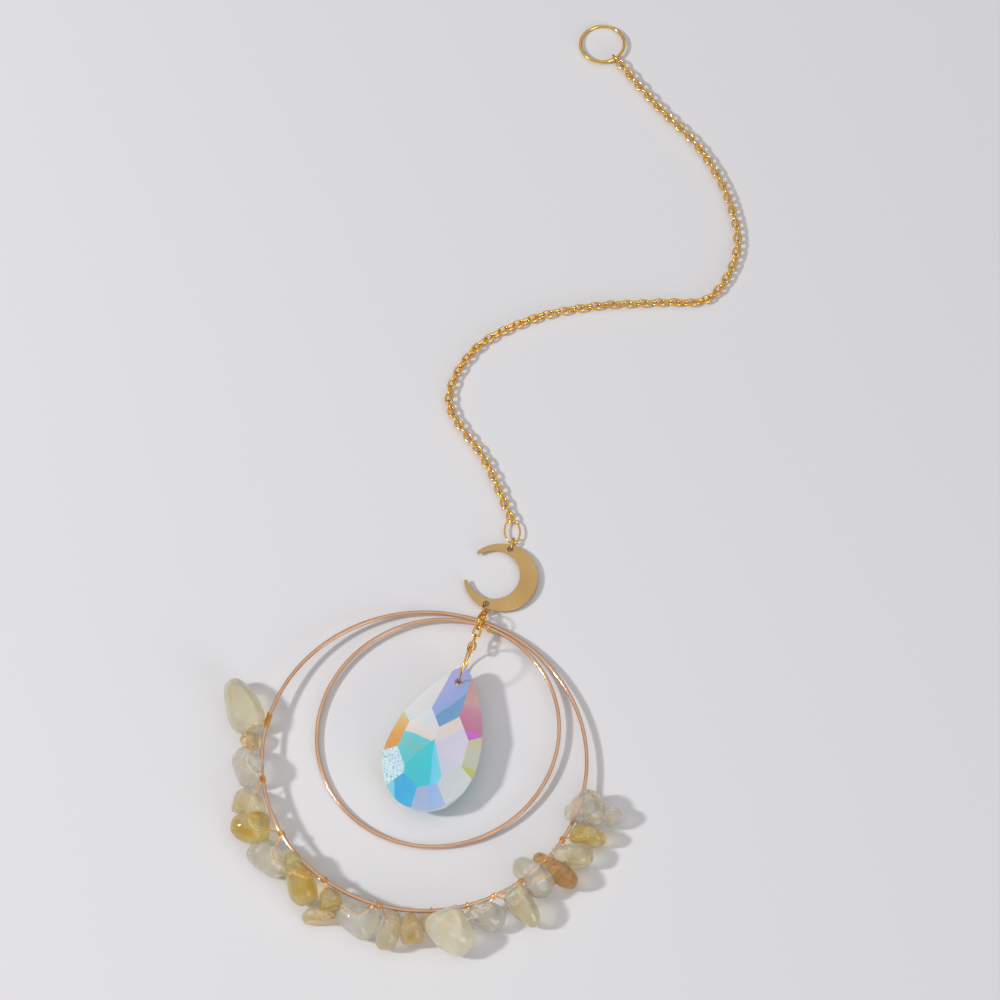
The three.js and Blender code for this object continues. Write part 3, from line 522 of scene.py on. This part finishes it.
def square_section(size, bevel, steps):
    """A square with rounded corners."""
    points = []
    half = size / 2 - bevel
    for quarter in range(4):
        x = half * (1 if quarter in (0, 3) else -1)
        y = half * (1 if quarter in (0, 1) else -1)
        for step in range(steps + 1):
            angle = math.pi / 2 * (quarter + step / steps)
            points.append((x + bevel * math.cos(angle), y + bevel * math.sin(angle)))
    return points


class Skin:
    """Gathers swept wires into one mesh."""

    def __init__(self):
        self.corners = []
        self.faces = []

    def sections(self, rings, closed):
        base = len(self.corners)
        sides = len(rings[0])
        for ring in rings:
            self.corners.extend(ring)
        spans = len(rings) if closed else len(rings) - 1
        for i in range(spans):
            here = base + i * sides
            there = base + (i + 1) % len(rings) * sides
            for k in range(sides):
                n = (k + 1) % sides
                self.faces.append((here + k, here + n, there + n, there + k))
        if not closed:
            last = base + (len(rings) - 1) * sides
            self.faces.append(tuple(base + k for k in reversed(range(sides))))
            self.faces.append(tuple(last + k for k in range(sides)))

    def loop(self, points, normal, section):
        """A closed flat loop of wire."""
        rings = []
        count = len(points)
        for i, point in enumerate(points):
            along = (points[(i + 1) % count] - points[i - 1]).normalized()
            out = along.cross(normal).normalized()
            rings.append([point + out * x + normal * y for x, y in section])
        self.sections(rings, True)

    def run(self, points, section):
        """An open wire through space, carried along without twist."""
        along = (points[1] - points[0]).normalized()
        side = along.orthogonal().normalized()
        rings = []
        for i, point in enumerate(points):
            before = points[max(i - 1, 0)]
            after = points[min(i + 1, len(points) - 1)]
            along = (after - before).normalized()
            side = (side - along * side.dot(along)).normalized()
            other = along.cross(side)
            rings.append([point + side * x + other * y for x, y in section])
        self.sections(rings, False)

    def mesh(self, name):
        mesh = bpy.data.meshes.new(name)
        mesh.from_pydata([tuple(c) for c in self.corners], [], self.faces)
        mesh.validate()
        shape = bmesh.new()
        shape.from_mesh(mesh)
        bmesh.ops.recalc_face_normals(shape, faces=shape.faces)
        shape.to_mesh(mesh)
        shape.free()
        return mesh


def oval(middle, along, across, half_length, half_width, count, squareness=1.0):
    """Points round an oval, which is squarer the lower the last number is."""
    points = []
    for i in range(count):
        angle = 2 * math.pi * i / count
        c, s = math.cos(angle), math.sin(angle)
        x = math.copysign(abs(c) ** squareness, c)
        y = math.copysign(abs(s) ** squareness, s)
        points.append(middle + along * (half_length * x) + across * (half_width * y))
    return points


# Rings and chains


def add_ring(name, node, half_length, half_width, wire, steps=72, sides=12):
    middle, along, normal = flat_frame(node)
    across = normal.cross(along).normalized()
    skin = Skin()
    skin.loop(oval(middle, along, across, half_length, half_width, steps), normal, round_section(wire, sides))
    add_piece(name, skin.mesh(name), [gold], [node])


def add_link_loop(skin, place, along, across):
    half_length = (LINK_LENGTH - LINK_WIRE) / 2
    half_width = (LINK_WIDTH - LINK_WIRE) / 2
    points = oval(place, along, across, half_length, half_width, LINK_STEPS, LINK_SQUARENESS)
    skin.loop(points, along.cross(across).normalized(), round_section(LINK_WIRE))


def add_crescent_link():
    middle, along, normal = flat_frame("crescent_link")
    skin = Skin()
    add_link_loop(skin, middle, along, normal.cross(along).normalized())
    add_piece("moon_link", skin.mesh("moon_link"), [gold], ["crescent_link"])


class Route:
    """A smooth curve through points, read by distance along it."""

    SAMPLES = 320
    WAY_STEP = 0.05

    def __init__(self, points):
        padded = [points[0] * 2 - points[1], *points, points[-1] * 2 - points[-2]]
        found = []
        for i in range(1, len(padded) - 2):
            found.extend(self.span(*padded[i - 1:i + 3]))
        found.append(np.array(points[-1]))
        self.points = np.array(found)
        steps = np.linalg.norm(np.diff(self.points, axis=0), axis=1)
        self.travel = np.concatenate([[0], np.cumsum(steps)])
        self.length = self.travel[-1]

    def span(self, p0, p1, p2, p3):
        """A centripetal spline's points from the second point up to the third."""
        d0, d1, d2 = (max((b - a).length ** 0.5, 1e-6) for a, b in ((p0, p1), (p1, p2), (p2, p3)))
        p0, p1, p2, p3 = (np.array(p) for p in (p0, p1, p2, p3))
        t1 = ((p1 - p0) / d0 - (p2 - p0) / (d0 + d1) + (p2 - p1) / d1) * d1
        t2 = ((p2 - p1) / d1 - (p3 - p1) / (d1 + d2) + (p3 - p2) / d2) * d1
        cubic = 2 * p1 - 2 * p2 + t1 + t2
        square = -3 * p1 + 3 * p2 - 2 * t1 - t2
        for i in range(self.SAMPLES):
            t = i / self.SAMPLES
            yield p1 + t1 * t + square * t * t + cubic * t ** 3

    def at(self, distance):
        return Vector([np.interp(distance, self.travel, self.points[:, i]) for i in range(3)])

    def way(self, distance):
        before = self.at(max(distance - self.WAY_STEP, 0))
        after = self.at(min(distance + self.WAY_STEP, self.length))
        return (after - before).normalized()


def add_link(skin, place, direction, roll):
    along = direction.normalized()
    level = UP.cross(along).normalized()
    lift = along.cross(level)
    angle = math.radians(roll)
    add_link_loop(skin, place, along, level * math.cos(angle) + lift * math.sin(angle))


def place_links(skin, route, start, length, first_roll, links_per_run, twist):
    """Links at the CAD model's places, where a run's last link hangs in the next run's first one."""
    place = 0.0
    number = 0
    while place <= length + ROUNDING:
        share = min(place / length, 1)
        roll = first_roll + (number % 2) * 90 + twist(share)
        add_link(skin, route.at(start + place), route.way(start + place), roll)
        number += 1
        place += LINK_PITCH
        if number % links_per_run == 0:
            place -= LINK_BITE + GAP


def add_chain():
    route = Route([Vector((x, y, CHAIN_LIE)) + LAYOUT for x, y in CHAIN_ROUTE])
    steps = int(route.length / LINK_PITCH)
    length = steps * LINK_PITCH - steps // LINKS_PER_RUN * (LINK_BITE + GAP)
    skin = Skin()
    place_links(
        skin, route, route.length - length, length, CHAIN_ROLL, LINKS_PER_RUN,
        lambda share: CHAIN_LEAN * math.cos(math.pi * share) ** 2,
    )
    nodes = sorted(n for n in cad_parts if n.startswith("chain_run"))
    add_piece("cable_chain", skin.mesh("cable_chain"), [gold], nodes)


def crescent_middle():
    """The middle of the crescent's outer circle, which reaches farthest to the right."""
    low, high = (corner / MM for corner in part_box("crescent"))
    return Vector((high.x - CRESCENT_RADIUS, (low.y + high.y) / 2, (low.z + high.z) / 2))


def add_drop_chain():
    """The short chain, all of it one run."""
    hole_edge = heading(CRESCENT_OPENS + CRESCENT_HOLE_TURN) * (CRESCENT_RADIUS - CRESCENT_HOLE_MARGIN)
    start = crescent_middle() + hole_edge + DROP_WAY * (LINK_REACH - 2 * GAP)
    hold = start + DROP_WAY * LINK_PITCH
    route = Route([start, hold, *(Vector(p) + LAYOUT for p in DROP_ROUTE)])
    steps = int(route.length / LINK_PITCH)
    skin = Skin()
    place_links(skin, route, 0, steps * LINK_PITCH, DROP_ROLL, steps + 2, lambda share: DROP_TWIST * share)
    add_piece("crystal_chain", skin.mesh("crystal_chain"), [gold], ["drop_chain"])


# Crescent


def crescent_outline():
    """The crescent's outline round its outer circle's middle, with a half round horn at each tip."""
    opens = math.radians(CRESCENT_OPENS)
    half = math.radians(CRESCENT_OPENING / 2)
    inner = ray(opens) * CRESCENT_OFFSET

    def outer_point(angle):
        return ray(angle) * CRESCENT_RADIUS

    def inner_turn(turn):
        tip = outer_point(opens + turn) - inner
        return math.atan2(tip.y, tip.x) % (2 * math.pi)

    def horn(start, end):
        centre = (start + end) / 2
        radius = start - centre
        out = ray(opens)
        out = (out - radius * out.dot(radius) / radius.length_squared).normalized() * radius.length
        turns = np.linspace(0, math.pi, CRESCENT_HORN_STEPS + 1)[1:-1]
        return [centre + radius * math.cos(a) + out * math.sin(a) for a in turns]

    outer_turns = np.linspace(opens + half, opens - half + 2 * math.pi, CRESCENT_OUTER_STEPS)
    outer = [outer_point(a) for a in outer_turns]
    first, last = inner_turn(-half), inner_turn(half)
    if last > first:
        last -= 2 * math.pi
    inside = [inner + ray(a) * CRESCENT_INNER_RADIUS for a in np.linspace(first, last, CRESCENT_INNER_STEPS)]
    return outer + horn(outer[-1], inside[0]) + inside + horn(inside[-1], outer[0])


def crescent_hole(turn):
    place = heading(CRESCENT_OPENS + turn) * CRESCENT_HOLE_FROM_MIDDLE
    return oval(place, EAST, NORTH, CRESCENT_HOLE_RADIUS, CRESCENT_HOLE_RADIUS, CRESCENT_HOLE_STEPS)


def add_crescent():
    curve = bpy.data.curves.new("moon_outline", "CURVE")
    curve.dimensions = "2D"
    curve.fill_mode = "BOTH"
    curve.extrude = CRESCENT_THICKNESS / 2 - CRESCENT_BEVEL
    curve.bevel_depth = CRESCENT_BEVEL
    curve.bevel_resolution = 2
    curve.offset = -CRESCENT_BEVEL
    for loop in (crescent_outline(), crescent_hole(-CRESCENT_HOLE_TURN), crescent_hole(CRESCENT_HOLE_TURN)):
        spline = curve.splines.new("POLY")
        spline.points.add(len(loop) - 1)
        spline.points.foreach_set("co", [c for p in loop for c in (p.x, p.y, 0, 1)])
        spline.use_cyclic_u = True
    mesh = final_mesh(add_object("moon_outline", curve))
    mesh.materials.clear()
    mesh.transform(Matrix.Translation(crescent_middle()))
    add_piece("moon", mesh, [crescent_brass], ["crescent"], CRESCENT_SHARP)


# Hoops and wrap wire


def hoop_frame(node):
    """A hoop's middle and the turn from level to its own slope."""
    middle, _, normal = flat_frame(node)
    return middle, UP.rotation_difference(normal)


def add_hoop(name, node, radius, stretch=0.0, stretch_turn=0.0):
    middle, turn = hoop_frame(node)
    along = turn @ heading(stretch_turn)
    across = turn @ heading(stretch_turn + 90)
    skin = Skin()
    points = oval(middle, along, across, radius + stretch, radius - stretch, HOOP_STEPS)
    skin.loop(points, turn @ UP, square_section(HOOP_WIRE, HOOP_BEVEL, HOOP_BEVEL_STEPS))
    add_piece(name, skin.mesh(name), [hoop_brass], [node], HOOP_SHARP)


outer_middle, outer_turn = hoop_frame("outer_hoop")


def on_hoop(degrees, out=0.0, up=0.0):
    return outer_middle + outer_turn @ (heading(degrees) * (OUTER_HOOP_RADIUS + out) + UP * up)


def coil(at, turns):
    """Wire round the square hoop, nearly touching its flat sides and bent over its corners."""
    reach = HOOP_WIRE / 2 + WRAP_WIRE / 2 + WRAP_CLEARANCE
    points = []
    for i in range(turns * WRAP_STEPS + 1):
        phase = math.pi / 4 - i * 2 * math.pi / WRAP_STEPS
        degrees = at + math.degrees((i / WRAP_STEPS - turns / 2) * WRAP_PITCH / OUTER_HOOP_RADIUS)
        out = reach * between(-1, WRAP_SQUARENESS * math.cos(phase), 1)
        up = reach * between(-1, WRAP_SQUARENESS * math.sin(phase), 1)
        points.append(on_hoop(degrees, out, up))
    return points


def along_hoop(degrees):
    """Degrees travelled by the wire since the bare part of the hoop."""
    return (degrees - BARE_HOOP_TURN) % 360


def soften(points, rounds=2):
    """Cuts the corners of a line of points a quarter in, and keeps its ends."""
    for _ in range(rounds):
        softer = [points[0]]
        for a, b in zip(points, points[1:]):
            softer.append(a * 0.75 + b * 0.25)
            softer.append(a * 0.25 + b * 0.75)
        points = [*softer, points[-1]]
    return points


def add_wrap_wire():
    """One wire that coils round the hoop and goes through the chips' bores between its coils."""
    line = coil(*WRAPS[0])
    for wrap, next_wrap in zip(WRAPS, WRAPS[1:]):
        threads = []
        for degrees, out, height in BORES:
            if along_hoop(wrap[0]) < along_hoop(degrees) < along_hoop(next_wrap[0]):
                place = on_hoop(degrees, out)
                place.z = min(height / 2, place.z)
                threads.append(place)
        wound = coil(*next_wrap)
        line.extend(soften([line[-1], *threads, wound[0]])[1:-1])
        line.extend(wound)
    skin = Skin()
    skin.run(line, round_section(WRAP_WIRE))
    add_piece("wire_wrap", skin.mesh("wire_wrap"), [wrap_gold], ["wrap_wire"])


# Citrine chips


def add_chip(number, look):
    """A tumbled stone: the CAD chip remeshed finely, worn smooth and gently dented."""
    node = f"citrine_chip_{number:02d}"
    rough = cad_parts[node].data.copy()
    rough.transform(Matrix.Scale(1 / MM, 4))
    low, high = (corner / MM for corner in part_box(node))
    size = max(high - low)
    shape = add_object("rough_stone", rough)
    remesh = shape.modifiers.new("remesh", "REMESH")
    remesh.mode = "VOXEL"
    remesh.voxel_size = CHIP_VOXEL
    smooth = shape.modifiers.new("smooth", "SMOOTH")
    smooth.factor = CHIP_SMOOTHING
    smooth.iterations = int(CHIP_SMOOTHING_ROUNDS * size ** 2)
    mesh = final_mesh(shape)
    mesh.materials.clear()
    seed = Vector([number * step for step in CHIP_SEED_STEP])
    normals = [Vector(normal.vector) for normal in mesh.vertex_normals]
    places = [vertex.co.copy() for vertex in mesh.vertices]
    worn = []
    for place, normal in zip(places, normals):
        growth = CHIP_GROWTH + CHIP_GROWTH_SHARE * size
        for depth, per_millimetre in CHIP_DENTS:
            growth += depth * noise.noise(place * per_millimetre + seed)
        worn.extend(between(a, c, b) for c, a, b in zip(place + normal * growth, low, high))
    mesh.vertices.foreach_set("co", worn)
    add_piece(f"chip_{number:02d}", mesh, [citrines[look]], [node])


# Crystal


def crystal_frame():
    """From crystal millimetres (from the tip, across, up from mid thickness) to the frame."""
    along = heading(CRYSTAL_TURN)
    across = UP.cross(along)
    points = node_points("crystal")
    travel = points @ np.array(along)
    side = points @ np.array(across)
    tip = travel.min() - CRYSTAL_TIP_CUT * CRYSTAL_LENGTH
    middle = (side.max() + side.min()) / 2
    origin = along * tip + across * middle + UP * ((points[:, 2].max() + points[:, 2].min()) / 2)
    matrix = Matrix((along, across, UP)).transposed().to_4x4()
    matrix.translation = origin
    return matrix


def crystal_half_width(along):
    half = CRYSTAL_WIDTH / 2
    if along < CRYSTAL_WIDEST:
        return half * math.sin(math.pi / 2 * (along / CRYSTAL_WIDEST) ** CRYSTAL_SWELL)
    rest = (along - CRYSTAL_WIDEST) / (CRYSTAL_LENGTH - CRYSTAL_WIDEST)
    return half * math.sqrt(max(0, 1 - rest ** 2))


def crystal_outline():
    """The drop seen from the front, with more points where it is most curved, at its two ends."""
    shares = [(1 - math.cos(math.pi * i / CRYSTAL_STATIONS)) / 2 for i in range(CRYSTAL_STATIONS + 1)]
    stations = [CRYSTAL_LENGTH * (CRYSTAL_TIP_CUT + (1 - CRYSTAL_TIP_CUT) * share) for share in shares]
    left = [Vector((a, -crystal_half_width(a), 0)) for a in stations]
    right = [Vector((a, crystal_half_width(a), 0)) for a in reversed(stations[:-1])]
    return left + right


def facet_planes():
    """The planes that cut the crystal's front: name, a point on each, and its normal."""
    planes = []
    for name, place, rise, tilt in FACETS:
        planes.append((name, Vector(place), Vector((-rise, -tilt, 1)).normalized()))
    for name, along, slope in EDGE_FACETS:
        step = 0.05
        width = crystal_half_width(along)
        run = (crystal_half_width(along + step) - crystal_half_width(along - step)) / (2 * step)
        for side, side_name in ((-1, "left"), (1, "right")):
            out = Vector((-run, side, 0)).normalized()
            place = Vector((along, side * width, CRYSTAL_GIRDLE_HALF))
            planes.append((f"{name}_{side_name}", place, (out * slope + UP).normalized()))
    return planes


def crystal_blank():
    """A slab of the drop's outline, a little thicker than the crystal. Its sides are the girdle."""
    outline = crystal_outline()
    lift = UP * (CRYSTAL_HALF + 1)
    shape = bmesh.new()
    top = [shape.verts.new(p + lift) for p in outline]
    bottom = [shape.verts.new(p - lift) for p in outline]
    shape.faces.new(top)
    shape.faces.new(list(reversed(bottom)))
    for i in range(len(outline)):
        n = (i + 1) % len(outline)
        shape.faces.new((bottom[i], bottom[n], top[n], top[i]))
    bmesh.ops.recalc_face_normals(shape, faces=shape.faces)
    for face in shape.faces:
        face.material_index = FACET_NAMES.index("girdle")
    return shape


def cut_facet(shape, name, place, normal):
    """Cuts off what lies outside a plane, and gives the cut its colours."""
    geometry = shape.verts[:] + shape.edges[:] + shape.faces[:]
    cut = bmesh.ops.bisect_plane(
        shape, geom=geometry, dist=1e-5, plane_co=place, plane_no=normal, clear_outer=True, clear_inner=False
    )
    rim = [e for e in cut["geom_cut"] if isinstance(e, bmesh.types.BMEdge)]
    for face in bmesh.ops.edgeloop_fill(shape, edges=rim)["faces"]:
        face.material_index = FACET_NAMES.index(name)
        if face.normal.dot(normal) < 0:
            face.normal_flip()


def add_crystal():
    shape = crystal_blank()
    mirror = Matrix.Diagonal((1, 1, -1))
    for name, place, normal in facet_planes():
        cut_facet(shape, name, place, normal)
        cut_facet(shape, BACK_COLOURS[name], mirror @ place, mirror @ normal)
    bmesh.ops.recalc_face_normals(shape, faces=shape.faces)
    mesh = bpy.data.meshes.new("crystal_drop")
    shape.to_mesh(mesh)
    shape.free()
    # Each facet gets its tint with painted reflections of other facets, and the glint facet gets painted
    # sparkle
    for name, colours in FACET_TINTS_AND_REFLECTIONS.items():
        mesh.materials.append(glass(f"crystal_{name}", *colours))
    mesh.materials.append(painted_glints(f"crystal_{GLITTER_FACET}"))
    mesh = bored(mesh)
    mesh.transform(crystal_frame())
    add_piece("crystal_drop", mesh, [], ["crystal"], CRYSTAL_SHARP)


def bored(mesh):
    """Drills the hole through the crystal near its tip."""
    drill_mesh = bpy.data.meshes.new("drill")
    drill_shape = bmesh.new()
    bmesh.ops.create_cone(
        drill_shape, cap_ends=True, segments=CRYSTAL_BORE_SIDES, depth=CRYSTAL_DRILL_LENGTH,
        radius1=CRYSTAL_BORE_RADIUS, radius2=CRYSTAL_BORE_RADIUS,
    )
    bmesh.ops.translate(drill_shape, verts=drill_shape.verts, vec=(CRYSTAL_BORE_FROM_TIP, 0, 0))
    drill_shape.to_mesh(drill_mesh)
    drill_shape.free()
    drill = add_object("drill", drill_mesh)
    shape = add_object("crystal_blank", mesh)
    cut = shape.modifiers.new("bore", "BOOLEAN")
    cut.operation = "DIFFERENCE"
    cut.solver = "EXACT"
    cut.object = drill
    drilled = final_mesh(shape)
    bpy.data.objects.remove(drill)
    return drilled


# Build

add_ring(
    "top_ring", "hanging_ring", HANGING_RING_RADIUS, HANGING_RING_RADIUS, HANGING_RING_WIRE,
    steps=96, sides=14,
)
add_chain()
add_ring("end_ring", "chain_end_ring", END_RING_HALF_LENGTH, END_RING_HALF_WIDTH, END_RING_WIRE)
add_crescent_link()
add_crescent()
add_drop_chain()
add_ring("hoop_ring", "hoop_jump_ring", HOOP_RING_RADIUS, HOOP_RING_RADIUS, HOOP_RING_WIRE)
add_ring(
    "crystal_ring", "crystal_jump_ring", CRYSTAL_RING_RADIUS, CRYSTAL_RING_RADIUS, CRYSTAL_RING_WIRE, steps=96
)
add_hoop("outer_ring", "outer_hoop", OUTER_HOOP_RADIUS)
add_hoop("inner_ring", "inner_hoop", INNER_HOOP_RADIUS, INNER_HOOP_OVAL, INNER_HOOP_OVAL_TURN)
add_wrap_wire()
for chip_number, chip_look in enumerate(CHIP_LOOKS, 1):
    add_chip(chip_number, chip_look)
add_crystal()

# Floor, light and camera


def add_floor():
    mesh = bpy.data.meshes.new("floor")
    corners = [(x * FLOOR_REACH, y * FLOOR_REACH, 0) for x, y in ((-1, -1), (1, -1), (1, 1), (-1, 1))]
    mesh.from_pydata(corners, [], [(0, 1, 2, 3)])
    made = Shader("floor_paper", Roughness=0.85, Specular_IOR_Level=0.2)
    clouds = made.noise(FLOOR_CLOUDS, detail=2)
    made.colour(made.ramp(clouds, [(NOISE_LOW, FLOOR_DARK), (NOISE_HIGH, FLOOR_LIGHT)]))
    mesh.materials.append(made.material)
    add_object("floor", mesh)


def add_world():
    """A bright studio ceiling that falls off towards the horizon."""
    world = bpy.data.worlds.new("studio")
    bpy.context.scene.world = world
    world.use_nodes = True
    tree = world.node_tree
    place = tree.nodes.new("ShaderNodeTexCoord")
    split = tree.nodes.new("ShaderNodeSeparateXYZ")
    ramp = tree.nodes.new("ShaderNodeValToRGB")
    tree.links.new(place.outputs["Generated"], split.inputs["Vector"])
    tree.links.new(split.outputs["Z"], ramp.inputs["Fac"])
    set_stops(ramp, [(height, (level, level, level * CEILING_BLUE)) for height, level in CEILING_LEVELS])
    tree.links.new(ramp.outputs["Color"], tree.nodes["Background"].inputs["Color"])
    tree.nodes["Background"].inputs["Strength"].default_value = CEILING_STRENGTH


def add_lamp(name, direction, distance, size, power):
    data = bpy.data.lights.new(name, "AREA")
    data.shape = "DISK"
    data.size = size
    data.energy = power
    lamp = add_object(name, data)
    way = Vector(direction).normalized()
    lamp.location = LAMP_AIM + way * distance
    lamp.rotation_euler = way.to_track_quat("Z", "Y").to_euler()


def add_camera():
    data = bpy.data.cameras.new("camera")
    data.sensor_width = CAMERA_SENSOR
    data.lens = CAMERA_LENS
    data.clip_start = CAMERA_CLIP_START * MM
    camera = add_object("camera", data)
    rise = math.radians(CAMERA_ELEVATION)
    back = Vector((0, -math.cos(rise), math.sin(rise)))
    camera.location = (LAYOUT + back * CAMERA_DISTANCE) * MM
    camera.rotation_euler = (math.pi / 2 - rise, 0, 0)
    bpy.context.scene.camera = camera


add_floor()
add_world()
for lamp_name, lamp in LAMPS.items():
    add_lamp(lamp_name, **lamp)
add_camera()
bpy.context.scene.view_settings.view_transform = "Standard"
